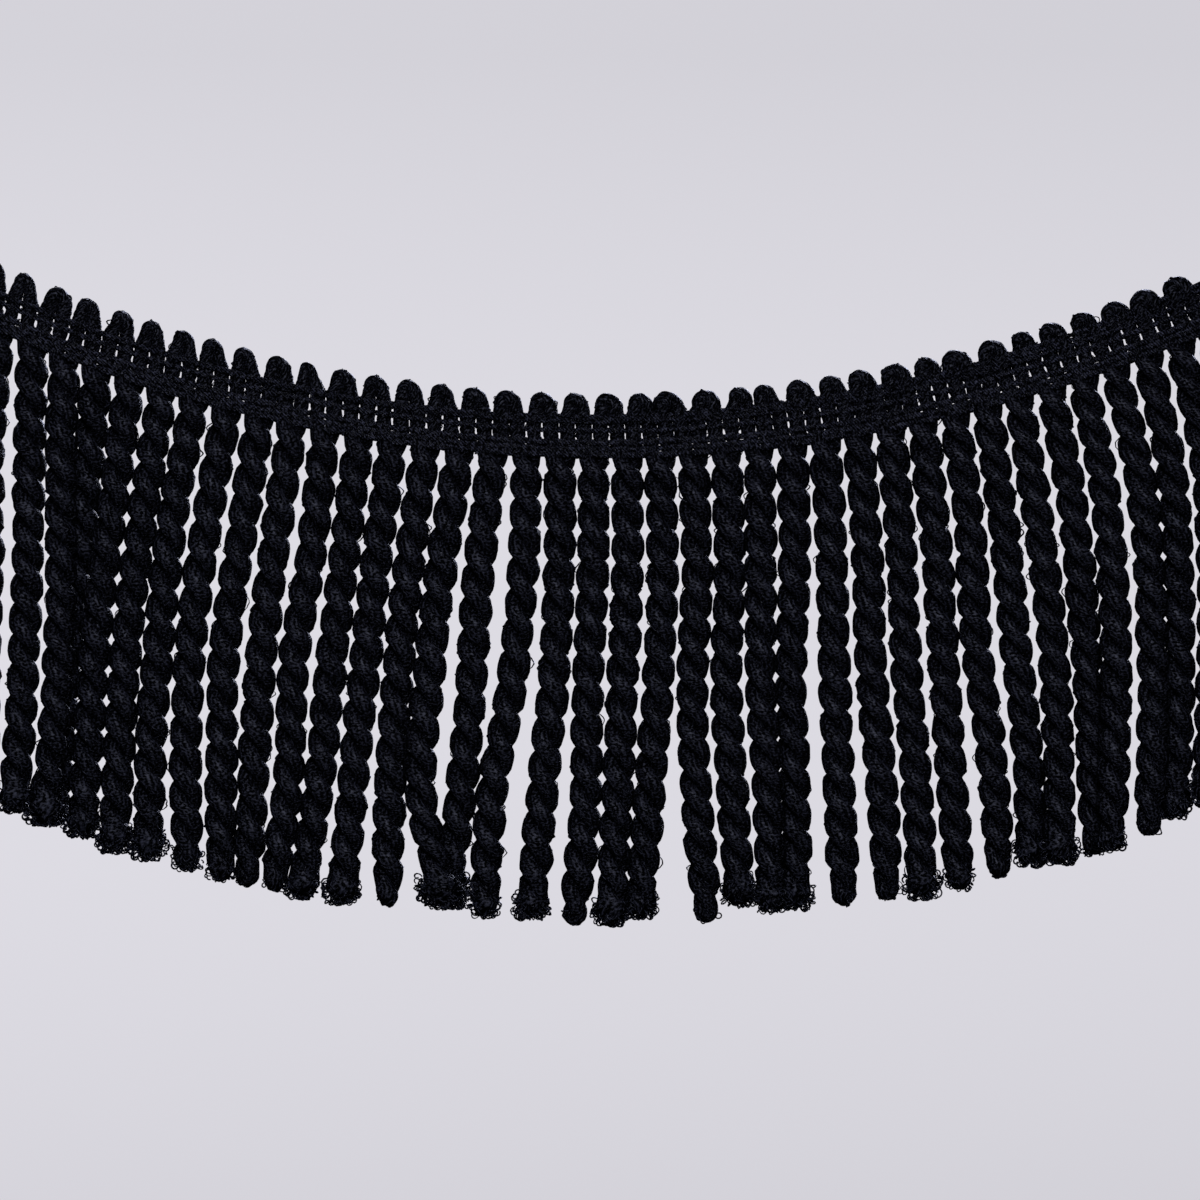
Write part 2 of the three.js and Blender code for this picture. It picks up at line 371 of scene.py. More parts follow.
# %% Bend the yarn over a scallop
KNOB_DEPTH = 2.85
KNOB_TURN = 1.3
KNOB_YARN = (1.68, 1.8)
KNOB_WIDTH = 2 * (KNOB_TURN + KNOB_YARN[0])
KNOB_LEAN = -0.4
KNOB_RINGS = 7
SCALLOP_COLUMNS = ("shift", "width")
SCALLOP_ROWS = (
    (0, 5), (0, 5), (0, 4.5), (0.5, 5.5), (0, 4.5), (0.5, 4.5), (0, 4.5), (0, 4.5), (-0.5, 4.5),
    (-0.5, 4.5), (0, 5), (-0.5, 3.5), (0, 5), (0, 5), (0, 5), (0, 4.5), (0, 5), (0, 5.5), (0.5, 5.5),
    (0.5, 5), (0.5, 5.5), (0.5, 5), (-0.5, 6), (0.5, 5.5), (1, 4.5), (-0.5, 4.5), (0, 5.5), (0, 5),
    (-0.5, 5.5), (0, 6), (0, 5), (-0.5, 6), (0.5, 6), (0.5, 4.5), (0, 5.5), (0, 5), (0, 6), (-0.5, 6.5),
    (0, 6), (0, 6),
)
scallops = [dict(zip(SCALLOP_COLUMNS, row)) for row in SCALLOP_ROWS]


def unit(vectors):
    return vectors / np.linalg.norm(vectors, axis=-1, keepdims=True)


def times(values, vector):
    """Each value times the same vector, or times its own."""
    return np.asarray(values)[..., None] * vector


def knob_rings(knob, side, along):
    """Rings over half a scallop, from its top to its shoulder."""
    inward = -side * along
    upward = unit(heading_point(knob, 0) - heading_point(knob, HEADING_HEIGHT))
    scallop = scallops[int(knob - FIRST_STATION)]
    wide = scallop["width"] / KNOB_WIDTH
    angle = np.linspace(math.pi / 2, 0, KNOB_RINGS, endpoint=False)
    reach = times(np.cos(angle), inward) + times(np.sin(angle), upward)
    shift = scallop["shift"] + KNOB_LEAN * np.sin(angle)
    middle = heading_point(knob, KNOB_DEPTH * wide) + times(shift, along) + KNOB_TURN * wide * reach
    travel = times(np.sin(angle), inward) - times(np.cos(angle), upward)
    girth = np.tile(np.array(KNOB_YARN) * wide, (KNOB_RINGS, 1))
    return middle, -reach, travel, girth, np.zeros(KNOB_RINGS)


print(len(scallops), "scallops")

# %% [markdown]
# A leg runs on from the scallop's shoulder. Inside the scallop it is full enough to meet its twin, so that
# no slit shows there. Below, the first chain row pinches it, it moves over towards its cord, and light comes
# through beside it. Each leg is a little fuller or thinner than the next by chance, and they get fuller
# towards the right.

# %% Run the yarn down a leg
KNOB_OVERLAP = 0.1
KNOB_END = 5.1
PINCH_LENGTH = 0.9
LEG_YARN = (1.4, 1.25)
LEG_FULLNESS = (0.98, 1.13)
FULLNESS_STEP = 0.0025
LEG_SPREAD = 0.25
SPREAD_END = 5.2
LEG_END = 10.5
LEG_RINGS = 11
SHIFT_FADE = 2.5
SEED = 11
chance = np.random.default_rng(SEED)


def mixed(start, end, share):
    return start + times(share, np.asarray(end) - np.asarray(start))


def leg_rings(station, side, along):
    """Rings down one leg of the heading."""
    scallop = scallops[int(station + side / 2 - FIRST_STATION)]
    wide = scallop["width"] / KNOB_WIDTH
    top = KNOB_DEPTH * wide
    full_yarn = np.array(LEG_YARN) * [chance.uniform(*LEG_FULLNESS) + FULLNESS_STEP * station, 1]
    below = np.linspace(top, LEG_END, LEG_RINGS, endpoint=False)
    share = (below - top) / (LEG_END - top)
    offset = np.interp(below, [top, SPREAD_END], [0.5 - KNOB_TURN * wide / PITCH, LEG_SPREAD])
    slide = scallop["shift"] * (1 - smooth_step(share * SHIFT_FADE))
    middle = heading_point(station + side * offset, below) + times(slide, along)
    outward = unit(mixed(side * along, np.array([side, 0, 0.0]), share))
    travel = np.cross(np.array([0, side, 0.0]), outward)
    inner = np.maximum(KNOB_YARN[0] * wide, (0.5 - offset) * PITCH + KNOB_OVERLAP)
    knob_yarn = np.stack([inner, np.full(LEG_RINGS, KNOB_YARN[1] * wide)], -1)
    girth = mixed(knob_yarn, full_yarn, smooth_step((below - KNOB_END) / PINCH_LENGTH))
    return middle, outward, travel, girth, np.zeros(LEG_RINGS)


print("legs about", round(LEG_END - KNOB_DEPTH, 1), "mm long")

# %% [markdown]
# In the cord two legs wind round each other, one turn in each lay. The rings lie level there, because the
# fine threads run nearly straight down, and level rings follow them best. Near its end the cord has a slight
# waist, and then it swells: hardly at all at a round end, more at a soft or frayed one, and most at a brush.

# %% Twist the yarn into a cord
PLY_YARN = (1.76, 2.3)
PLY_OFFSET = 1.64
SWELL_START = -1.0
SWELL_LENGTH = 3.2
END_YARN = (1.6, 2.35)
END_OFFSET = 0.95
END_LENGTH = 5
END_FORMS = {
    "round": {"girth": 0.95, "short": -0.2, "taper": 0.3},
    "soft": {"girth": 1.1, "short": 0.0, "taper": 0.25},
    "frayed": {"girth": 1.38, "short": 0.3, "taper": 0.12},
    "brush": {"girth": 1.7, "short": 0.3, "taper": 0.08},
}
WAIST = 0.2
WAIST_HEIGHT = 2.2
WAIST_LENGTH = 1.3
LAY = 12.3
TWIST_START = 0.5
EASE = 0.35
CORD_RINGS = 100
FULL_TURN = 2 * math.pi
UP = np.array([0, 0, 1.0])


def soft_ramp(x):
    """Zero before the origin and x after it, with a rounded bend."""
    return EASE * np.logaddexp(0, x / EASE)


def cord_rings(cord, station, side):
    """Rings of one ply of a cord, down to where it turns back."""
    form = END_FORMS[cord["form"]]
    end_girth = np.array(END_YARN) * form["girth"]
    last = cord["drop"] - form["short"] - END_OFFSET - end_girth[0]
    depth = np.linspace(LEG_END - HEADING_HEIGHT, last, CORD_RINGS)
    ramp = soft_ramp(depth + TWIST_START) - soft_ramp(depth - last)
    late = np.interp(depth / cord["drop"], [0, *TWIST_SHARES], [0, cord["upper"], cord["lower"]])
    turn = FULL_TURN / LAY * (ramp - late)
    bearing = turn + (0 if side > 0 else math.pi)
    outward = np.stack([np.cos(bearing), np.sin(bearing), np.zeros_like(bearing)], -1)
    line = hang_line(cord, station, depth / cord["drop"])
    girth = mixed(LEG_YARN, PLY_YARN, smooth_step((depth - SWELL_START) / SWELL_LENGTH))
    near_end = smooth_step((depth - last + END_LENGTH) / END_LENGTH)
    waist = 1 - WAIST * np.exp(-((depth - last + WAIST_HEIGHT) / WAIST_LENGTH) ** 2)
    girth = times(waist, 1) * mixed(girth, end_girth, near_end)
    offset = PLY_OFFSET + (END_OFFSET - PLY_OFFSET) * near_end
    return line + times(offset, outward), outward, np.tile(-UP, (CORD_RINGS, 1)), girth, turn


print("a turn in every", LAY, "mm of cord")

# %% [markdown]
# Under the end of the cord the yarn turns back, a quarter of a turn for each half of the loop. Then the
# halves are strung together into one run of rings, from the left end of the trim to the right. A little
# smoothing rounds the places where the parts meet.

# %% String the loops together
END_RINGS = 5
SMOOTHING = 2


def end_rings(cord, ply):
    """Rings on from a ply's last one, round the cord's end to the middle of the turn."""
    middle, outward, _, girth, turn = (values[-1] for values in ply)
    angle = np.linspace(0, math.pi / 2, END_RINGS + 1)[1:]
    reach = times(np.cos(angle), outward) - times(np.sin(angle), UP)
    travel = -times(np.sin(angle), outward) - times(np.cos(angle), UP)
    taper = END_FORMS[cord["form"]]["taper"]
    tip_girth = girth * np.stack([np.ones(END_RINGS), 1 - taper * np.sin(angle)], -1)
    return middle + END_OFFSET * (reach - outward), reach, travel, tip_girth, np.full(END_RINGS, turn)


def half_loop(cord, station, side):
    """Rings from a scallop's top to the bottom of a cord. side is -1 for the left half, 1 for the right."""
    knob = station + side / 2
    along = unit(heading_point(knob + 0.5, KNOB_DEPTH) - heading_point(knob - 0.5, KNOB_DEPTH))
    over = knob_rings(knob, side, along)
    down = leg_rings(station, side, along)
    ply = cord_rings(cord, station, side)
    under = end_rings(cord, ply)
    return [np.concatenate(values) for values in zip(over, down, ply, under)]


def whole_loop(cord, station):
    """Rings down the left half of a loop and up the right one, where the yarn travels the other way."""
    left = half_loop(cord, station, -1)
    middle, outward, travel, girth, turn = (values[::-1][1:] for values in half_loop(cord, station, 1))
    return [np.concatenate(halves) for halves in zip(left, (middle, outward, -travel, girth, turn))]


def soften(values):
    """Averages each ring with its neighbours, and leaves the first and last as they are."""
    values = np.array(values, float)
    for _ in range(SMOOTHING):
        values[1:-1] = (values[:-2] + 2 * values[1:-1] + values[2:]) / 4
    return values


loops = [whole_loop(cord, FIRST_STATION + i + 0.5) for i, cord in enumerate(cords)]
ring_ends = np.concatenate([[0], np.cumsum([len(loop[0]) for loop in loops])])
middles, outwards, travels, girths, cord_turns = (np.concatenate(values) for values in zip(*loops))
middles = soften(middles)
travels = unit(soften(travels))
sideways = unit(np.cross(travels, soften(outwards)))
outwards = np.cross(sideways, travels)
girths = soften(girths)
print(len(middles), "rings in", len(loops), "loops")

# %% [markdown]
# Each ring is also turned about the yarn. The yarn has its own twist, against the twist of the cords, and in
# the cords the two nearly cancel, as they do in any rope. The fine threads on the surface follow these
# turns. A ring is taken to be in a cord where the cord turns, but not where it jumps to the next loop.

# %% Turn the threads
YARN_TWIST = 0.5
THREAD_FOLLOW = 1.15
LEAST_TURN = 0.02
MOST_TURN = 1

steps = np.linalg.norm(np.diff(middles, axis=0, prepend=middles[:1]), axis=1)
runs = np.cumsum(steps)
turned = np.abs(np.diff(cord_turns, prepend=cord_turns[:1]))
in_cord = (turned > LEAST_TURN) & (turned < MOST_TURN)
thread_turn = np.cumsum(np.where(in_cord, THREAD_FOLLOW * turned, YARN_TWIST * steps))
print(round(runs[-1] / 1000, 2), "m of yarn")

# %% [markdown]
# Around every ring the yarn is a little lumpy, and thick and thin places drift along it, so that no two
# turns look the same. A value kept at each point, its crest, says how far a ply stands out over the front or
# the back of its cord. The finish paints a highlight there.

# %% Lay out the yarn's surface
RING_POINTS = 18
LUMPS = 0.055
LUMP_REACH = 2
DRIFT = 0.035
DRIFT_REACH = 10
CREST_START = 1.2
CREST_END = 3.1
FLAT_CREST = 0.4


def wander(count, columns, reach):
    """Random values that change slowly down each column, about as often as every reach rows."""
    knots = chance.standard_normal((count // reach + 4, columns))
    place = np.arange(count) / reach
    i = place.astype(int)
    return mixed(knots[i], knots[i + 1], smooth_step(place - i))


relief = 1 + LUMPS * wander(len(middles), RING_POINTS, LUMP_REACH)
relief *= 1 + DRIFT * wander(len(middles), 1, DRIFT_REACH)
angle = thread_turn[:, None] + np.linspace(0, FULL_TURN, RING_POINTS, endpoint=False)
yarn_points = middles[:, None] + times(relief * np.cos(angle) * girths[:, :1], outwards[:, None])
yarn_points = yarn_points + times(relief * np.sin(angle) * girths[:, 1:], sideways[:, None])
ply_stand = np.where(in_cord, PLY_OFFSET, 0)[:, None] * outwards[:, None, 1]
stand = ply_stand + (yarn_points - middles[:, None])[..., 1]
# The crest only says where the finish paints a highlight on the yarn.
crest_highlights = smooth_step((np.abs(stand) - CREST_START) / (CREST_END - CREST_START))
crest_highlights = np.where(in_cord[:, None], crest_highlights, FLAT_CREST)
print(yarn_points.shape[0] * yarn_points.shape[1], "yarn points")

# %% [markdown]
# The yarn is a soft black, faintly blue. It is a bundle of fine curly threads, so its surface is all short
# dashes and pits. A map that runs along and around the yarn carries them: stretched noise for the curls and
# a wavy line for each thread, as bumps and also in the colour, which is painted lighter on the raised dashes
# and ridges as a highlight and stays black in the pits as painted shade. The crests are painted lighter
# still, a painted highlight.

# %% Mix the yarn's finish
YARN_BLACK_AND_PAINTED_SHADE = (0.0003, 0.0003, 0.0005, 1)
YARN_PAINTED_HIGHLIGHT = (0.025, 0.0258, 0.035, 1)
YARN_TONES = (0.6, 0.86)
YARN_ROUGHNESS = 0.4
YARN_SHINE = 0.06
YARN_BUMP = 0.0015
DASHES = {"along": 2.0, "around": 20}
CLOUDS = {"along": 0.3, "around": 6}
CLOUD_SHADE = 0.25
CLOUD_ROUGHNESS = 0.3
THREADS = 12
THREAD_WAVE = 9
THREAD_HEIGHT = 0.05
CREST_PAINTED_HIGHLIGHT = 0.09
GLINT = 0.5
GLINT_ROUGHNESS = 0.55


def stretched_noise(wire, run, around, cells):
    """Soft noise, with so many cells in each millimetre along the yarn and so many around it."""
    spot = {"X": run * cells["along"], "Y": around * cells["around"]}
    place = wire.add("ShaderNodeCombineXYZ", None, spot)
    return wire.add("ShaderNodeTexNoise", None, {"Vector": place, "Scale": 1.0, "Detail": 1.0})


def painted_light_mix(wire, shade, tones, black_and_painted_shade, painted_highlight):
    """How far a shade lies between two tones, and the colour there.

    A Mix node for colours has its factor at socket 0, its colours at 6 and 7, and the result at 2.
    """
    # The colour is painted light: lighter where the shade value is high, as a highlight, and darker where it
    # is low, as shade.
    tone = wire.add("ShaderNodeMapRange", None, {"Value": shade, "From Min": tones[0], "From Max": tones[1]})
    return tone, wire.add("ShaderNodeMix", {"data_type": "RGBA"}, {0: tone, 6: black_and_painted_shade, 7: painted_highlight}, 2)


def yarn_finish(name):
    """A finish of dashes that follow the threads."""
    material, shader, wire = new_material(name)
    lines = wire.add("ShaderNodeUVMap", {"uv_map": "thread_lines"})
    run = wire.add("ShaderNodeSeparateXYZ", None, {0: lines})
    around = run.other("Y")
    dashes = stretched_noise(wire, run, around, DASHES)
    clouds = stretched_noise(wire, run, around, CLOUDS)
    ridges = wire.math("SINE", around * (THREADS * FULL_TURN) + clouds * THREAD_WAVE)
    height = dashes + ridges * THREAD_HEIGHT
    crest_highlight = wire.add("ShaderNodeAttribute", {"attribute_name": "crest_highlight"}, None, "Fac")
    # Painted highlight and shade: the colour is lighter where the bump is high and on the crests, and black
    # in the pits.
    shade = height + clouds * CLOUD_SHADE + (crest_highlight - 0.5) * CREST_PAINTED_HIGHLIGHT
    tone, colour = painted_light_mix(wire, shade, YARN_TONES, YARN_BLACK_AND_PAINTED_SHADE, YARN_PAINTED_HIGHLIGHT)
    wire.feed(shader.inputs["Base Color"], colour)
    wire.feed(shader.inputs["Roughness"], YARN_ROUGHNESS + (clouds - 0.5) * CLOUD_ROUGHNESS)
    wire.feed(shader.inputs["Coat Weight"], tone * GLINT)
    shader.inputs["Coat Roughness"].default_value = GLINT_ROUGHNESS
    bump = wire.add("ShaderNodeBump", None, {"Strength": 1.0, "Distance": YARN_BUMP, "Height": height})
    wire.feed(shader.inputs["Normal"], bump)
    shader.inputs["Specular IOR Level"].default_value = YARN_SHINE
    return material


black_yarn = yarn_finish("black_yarn")
print("finish:", black_yarn.name)

# %% [markdown]
# The meshes are built straight from arrays, because nearly ten metres of lumpy yarn can't be pulled from a
# primitive. Rings of points are joined by quads, and a face closes each end. Each piece stands in place of
# one of the solids.

# %% Build a mesh from arrays
MM = 0.001


def tube_faces(rings, points):
    """Quads between rings, and a face that closes each end."""
    i, j = np.meshgrid(np.arange(rings - 1), np.arange(points), indexing="ij")
    k = (j + 1) % points
    quads = np.stack([i * points + j, i * points + k, (i + 1) * points + k, (i + 1) * points + j], -1)
    start = np.arange(points)[::-1]
    finish = (rings - 1) * points + np.arange(points)
    return quads.reshape(-1, 4).tolist(), [start.tolist(), finish.tolist()]


def new_piece(name, points, faces, material, node):
    """A smooth mesh object at the origin, from points in millimetres, in place of a solid."""
    mesh = bpy.data.meshes.new(name)
    mesh.from_pydata((points.reshape(-1, 3) * MM).tolist(), [], faces)
    mesh.shade_smooth()
    mesh.materials.append(material)
    piece = bpy.data.objects.new(name, mesh)
    bpy.context.collection.objects.link(piece)
    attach(piece, "root")
    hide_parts(node)
    print(name, sum(len(face) - 2 for face in faces), "triangles")
    return piece


print("quads between two rings:", len(tube_faces(2, RING_POINTS)[0]))

# %% [markdown]
# The run of yarn is cut into four pieces at scallop tops, to keep each mesh a handy size. The two ends of
# the trim are plain cuts through the yarn beside a leg. Each mesh gets the map that its finish reads, and
# the crest of each point.

# %% Make the roping
PIECES = 4


def thread_map(mesh, rings, points, distances):
    """A map that runs along the yarn in millimetres and once around it."""
    i, j = np.meshgrid(np.arange(rings - 1), np.arange(points), indexing="ij")
    u = np.stack([distances[i], distances[i], distances[i + 1], distances[i + 1]], -1)
    v = np.stack([j, j + 1, j + 1, j], -1) / points
    quads = np.stack([u, v], -1).reshape(-1, 2)
    ends = np.zeros((2 * points, 2))
    layer = mesh.uv_layers.new(name="thread_lines")
    layer.data.foreach_set("uv", np.concatenate([quads, ends]).astype(np.float32).ravel())


cut_cords = np.linspace(0, len(cords), PIECES + 1).round().astype(int)
for number in range(PIECES):
    first = ring_ends[cut_cords[number]] + (KNOB_RINGS if number == 0 else 0)
    last = ring_ends[cut_cords[number + 1]] + (-KNOB_RINGS if number == PIECES - 1 else 1)
    block = yarn_points[first:last]
    quads, ends = tube_faces(*block.shape[:2])
    name = f"roping_{number + 1}"
    piece = new_piece(name, block, quads + ends, black_yarn, "bullion_fringe")
    thread_map(piece.data, *block.shape[:2], runs[first:last] - runs[first])
    # The crest of each point, where the finish paints a highlight.
    crest_highlight = piece.data.attributes.new("crest_highlight", "FLOAT", "POINT")
    crest_highlight.data.foreach_set("value", crest_highlights[first:last].astype(np.float32).ravel())

# %% [markdown]
# Fine threads come next, the loose ones of the yarn and those of the chain stitch. They are too thin for a
# map along each, so their finish is noise in the object's own space, with a slanting ripple for the twist,
# as bumps and also in the colour: painted lighter on the raised dashes as a highlight and darker in the
# hollows as painted shade. The chain thread's dashes are smaller, with a brighter painted highlight.

# %% Mix the threads' finishes
THREAD_FINISHES = {
    "loose_thread": {
        "black_and_painted_shade": (0.0008, 0.0008, 0.0012, 1),
        "painted_highlight": (0.022, 0.023, 0.031, 1),
        "tones": (0.45, 0.65),
        "cells": 900.0,
    },
    "chain_thread": {
        "black_and_painted_shade": (0.0002, 0.0002, 0.0004, 1),
        "painted_highlight": (0.036, 0.037, 0.05, 1),
        "tones": (0.52, 0.64),
        "cells": 1900.0,
    },
}
TWIST_STEP = 0.0007
TWIST_BUMP_AND_PAINTED_SHADE = 0.1
THREAD_ROUGHNESS = 0.4
DASH_ROUGHNESS = 0.4
THREAD_SHINE = 0.2
THREAD_BUMP = 0.0006


def thread_finish(name):
    """A finish of short dashes, from so many cells of noise to a metre."""
    looks = THREAD_FINISHES[name]
    material, shader, wire = new_material(name)
    spot = wire.add("ShaderNodeTexCoord", None, None, "Object")
    along = wire.add("ShaderNodeSeparateXYZ", None, {0: spot})
    twist = wire.math("SINE", (along + along.other("Z")) * (FULL_TURN / TWIST_STEP))
    noise = wire.add("ShaderNodeTexNoise", None, {"Vector": spot, "Scale": looks["cells"], "Detail": 2.0})
    dashes = noise + twist * TWIST_BUMP_AND_PAINTED_SHADE
    # Painted highlight and shade: the colour follows the bump, lighter on raised dashes and twist ridges.
    _, colour = painted_light_mix(wire, dashes, looks["tones"], looks["black_and_painted_shade"], looks["painted_highlight"])
    wire.feed(shader.inputs["Base Color"], colour)
    wire.feed(shader.inputs["Roughness"], THREAD_ROUGHNESS + (dashes - 0.5) * DASH_ROUGHNESS)
    bump = wire.add("ShaderNodeBump", None, {"Strength": 1.0, "Distance": THREAD_BUMP, "Height": dashes})
    wire.feed(shader.inputs["Normal"], bump)
    shader.inputs["Specular IOR Level"].default_value = THREAD_SHINE
    return material


loose_thread = thread_finish("loose_thread")
chain_thread = thread_finish("chain_thread")
print("finishes:", loose_thread.name, chain_thread.name)

# %% [markdown]
# The surface of the cords is a thicket of small curls. Each one here is a short thread that starts inside
# the yarn, rises just off it, wriggles along and dives in again. A few rise far enough to be seen as loops.
# Hair strands could do this too, but thin tubes in a mesh go with the trim wherever it is used. First come
# their paths, each with a direction that points away from the yarn.

# %% Lay the paths of the curls
CURL_STEPS = 8
CURL_RADIUS = 0.16
CURL_REACH = 1.6
REACH_RANGE = (0.6, 1.8)
CURL_SWAY = 0.3
CURL_BENDS = (3, 8)
CURL_LIFT = (0.12, 0.3)
CURL_SINK = 0.1
LOOP_SHARE = 0.05
LOOP_LIFT = 0.55
LOOP_REACH = 0.9
THICKNESS = (0.8, 1.2)
BARE_START = KNOB_RINGS + 2
BARE_END = KNOB_RINGS + 8


def on_yarn(place, angle, lift):
    """Places at ring numbers that may fall between rings, at angles round the yarn, and lifted off it."""
    i = place.astype(int)
    t = place - i
    middle, out, side, girth = (mixed(v[i], v[i + 1], t) for v in (middles, outwards, sideways, girths))
    away = times(np.cos(angle), out) + times(np.sin(angle), side)
    skin = times(np.cos(angle) * girth[..., 0], out) + times(np.sin(angle) * girth[..., 1], side)
    return middle + skin + times(lift, away), away


def curls(count):
    """Paths of small curls at random places on the yarn, their directions and their radii."""
    first = chance.uniform(BARE_START, len(middles) - BARE_END, count)
    share = np.linspace(0, 1, CURL_STEPS)
    stray = chance.random((count, 1)) < LOOP_SHARE
    reach = CURL_REACH * chance.uniform(*REACH_RANGE, (count, 1)) + LOOP_REACH * stray
    place = first[:, None] + share * reach / np.median(steps)
    ring = place.astype(int)
    twist = mixed(thread_turn[ring, None], thread_turn[ring + 1, None], place % 1)[..., 0]
    bends = share * chance.uniform(*CURL_BENDS, (count, 1)) + chance.uniform(0, FULL_TURN, (count, 1))
    angle = twist + chance.uniform(0, FULL_TURN, (count, 1)) + CURL_SWAY * np.sin(bends)
    high = chance.uniform(*CURL_LIFT, (count, 1)) + LOOP_LIFT * stray
    lift = high * np.sin(math.pi * share) - CURL_SINK
    paths, aways = on_yarn(place, angle, lift)
    radii = CURL_RADIUS * (0.5 + 0.5 * np.sin(math.pi * share)) * chance.uniform(*THICKNESS, (count, 1))
    return paths, aways, radii


print("curls of", CURL_STEPS, "points")

# %% [markdown]
# A thin tube is then laid out around every path, and all of them are joined in one mesh. Three sides are
# enough for a curl, because it is less than half a millimetre thick.

# %% Ruffle the yarn
CURLS = 5800
CURL_PIECES = 2
CURL_SIDES = 3


def thin_tubes(paths, aways, radii, sides, flat=1.0):
    """Points and faces of a tube along each path. paths is (tubes, steps, 3), and radii is (tubes, steps).

    flat is the share of its height that a tube is deep.
    """
    tubes, count = paths.shape[:2]
    travel = unit(np.gradient(paths, axis=1))
    across = unit(np.cross(travel, aways))
    outward = np.cross(across, travel)
    across = np.cross(travel, outward)
    angle = np.linspace(0, FULL_TURN, sides, endpoint=False)
    ring = flat * np.cos(angle)[:, None] * outward[:, :, None] + np.sin(angle)[:, None] * across[:, :, None]
    points = paths[:, :, None] + radii[:, :, None, None] * ring
    quads, ends = tube_faces(count, sides)
    offsets = (np.arange(tubes) * count * sides)[:, None, None]
    all_quads = (np.array(quads)[None] + offsets).reshape(-1, 4).tolist()
    all_ends = (np.array(ends)[None] + offsets).reshape(-1, sides).tolist()
    return points, all_quads + all_ends


for number in range(CURL_PIECES):
    points, faces = thin_tubes(*curls(CURLS // CURL_PIECES), CURL_SIDES)
    new_piece(f"curls_{number + 1}", points, faces, loose_thread, "bullion_fringe")

# %% [markdown]
# At a frayed end the yarn has burst into a tuft of small loops and curls, which stand off it on all sides.
# A soft end shows fewer of them, and a round one hardly any. Where two crossing cords end together they make
# a brush. Each loop is an open ring of thin tube, set at random on a rounded lump.

# %% Fray the ends
TUFT_LOOPS = {"round": 6, "soft": 36, "frayed": 90, "brush": 130}
TUFT_SIZE = {"round": (2.2, 2.2), "soft": (2.8, 2.6), "frayed": (3.4, 3.0), "brush": (4.9, 3.2)}
TUFT_DEPTH = 0.8
TUFT_RISE = 0.3
TUFT_DROOP = 0.7
TUFT_SQUARE = 1.2
TUFT_STAND = 0.55
TUFT_RAGGED = (0.86, 1.12)
LOOP_STEPS = 9
LOOP_SIDES = 4
LOOP_SIZE = (0.4, 0.95)
LOOP_TURN = (2.2, 6.0)
LOOP_DRIFT = 0.14
LOOP_RADIUS = 0.16


def tuft(cord, station):
    """Paths of the small loops round one cord's end, their directions and their radii."""
    count = TUFT_LOOPS[cord["form"]]
    wide, tall = TUFT_SIZE[cord["form"]]
    middle = hang_line(cord, station, np.array([1.0]))[0] + (tall + TUFT_RISE) * UP
    away = unit(chance.standard_normal((count, 3)) - TUFT_DROOP * UP)
    along = unit(np.cross(away, chance.standard_normal((count, 3))))
    aside = np.cross(away, along)
    ragged = chance.uniform(*TUFT_RAGGED, (count, 1)) * np.array([wide, wide * TUFT_DEPTH, tall])
    skin = middle + np.clip(away * TUFT_SQUARE, -1, 1) * ragged
    size = chance.uniform(*LOOP_SIZE, (count, 1))
    turn = chance.uniform(*LOOP_TURN, (count, 1)) * np.linspace(-0.5, 0.5, LOOP_STEPS)
    paths = skin[:, None] + times(size * (np.cos(turn) - TUFT_STAND), away[:, None])
    paths = paths + times(size * np.sin(turn), along[:, None]) + times(LOOP_DRIFT * turn, aside[:, None])
    radii = LOOP_RADIUS * chance.uniform(*THICKNESS, (count, 1)) * np.ones(LOOP_STEPS)
    return paths, np.repeat(aside[:, None], LOOP_STEPS, axis=1), radii


tufts = [tuft(cord, FIRST_STATION + i + 0.5) for i, cord in enumerate(cords)]
points, faces = thin_tubes(*(np.concatenate(values) for values in zip(*tufts)), LOOP_SIDES)
new_piece("tufts", points, faces, loose_thread, "bullion_fringe")

# %% [markdown]
# Fine threads in chain stitch bind the legs in four rows. The table says how far below the scallop tops the
# threads of each row run, how far they climb with each station to the right, how far they stand out from the
# heading's middle plane, half their height, and the half length and slant of their stitches. The first row
# has three threads that fan out to the right, and the last one has two. Every thread runs along the front
# and along the back, and dips a little between the legs.

# %% Run the chain threads
CHAIN_COLUMNS = ("node", "below", "climb", "front", "thread", "length", "slant")
CHAIN_ROWS = (
    ("chain_row_1", (4.5, 5.0, 5.5), (0.07, 0.035, 0), 1.15, 0.5, 0.3, 0.45),
    ("chain_row_2", (7.2,), (0,), 1.1, 0.55, 0.32, 0.5),
    ("chain_row_3", (9.55,), (0,), 1.12, 0.65, 0.3, 0.55),
    ("chain_row_4", (10.85, 12.0), (0, 0), 1.3, 0.66, 0.3, 0.6),
)
chain_rows = [dict(zip(CHAIN_COLUMNS, row)) for row in CHAIN_ROWS]
LAST_STATION = FIRST_STATION + len(cords)
SLIT_DIP = 0.15
THREAD_STEPS = 8
THREAD_MARGINS = (2, 1)
THREAD_WANDER = 0.08
WANDER_REACH = 4
THREAD_LUMPS = 0.16
FRONT_AND_BACK = (-1, 1)


def row_depth(row, number, stations):
    """How far below the scallop tops a thread of a row runs."""
    return row["below"][number] - row["climb"][number] * (stations - MIDDLE_STATION)


def over_legs(row, stations):
    """How far the row stands out from the heading's middle: less in the slits than over the legs."""
    return row["front"] - SLIT_DIP * np.cos(FULL_TURN * stations) ** 2


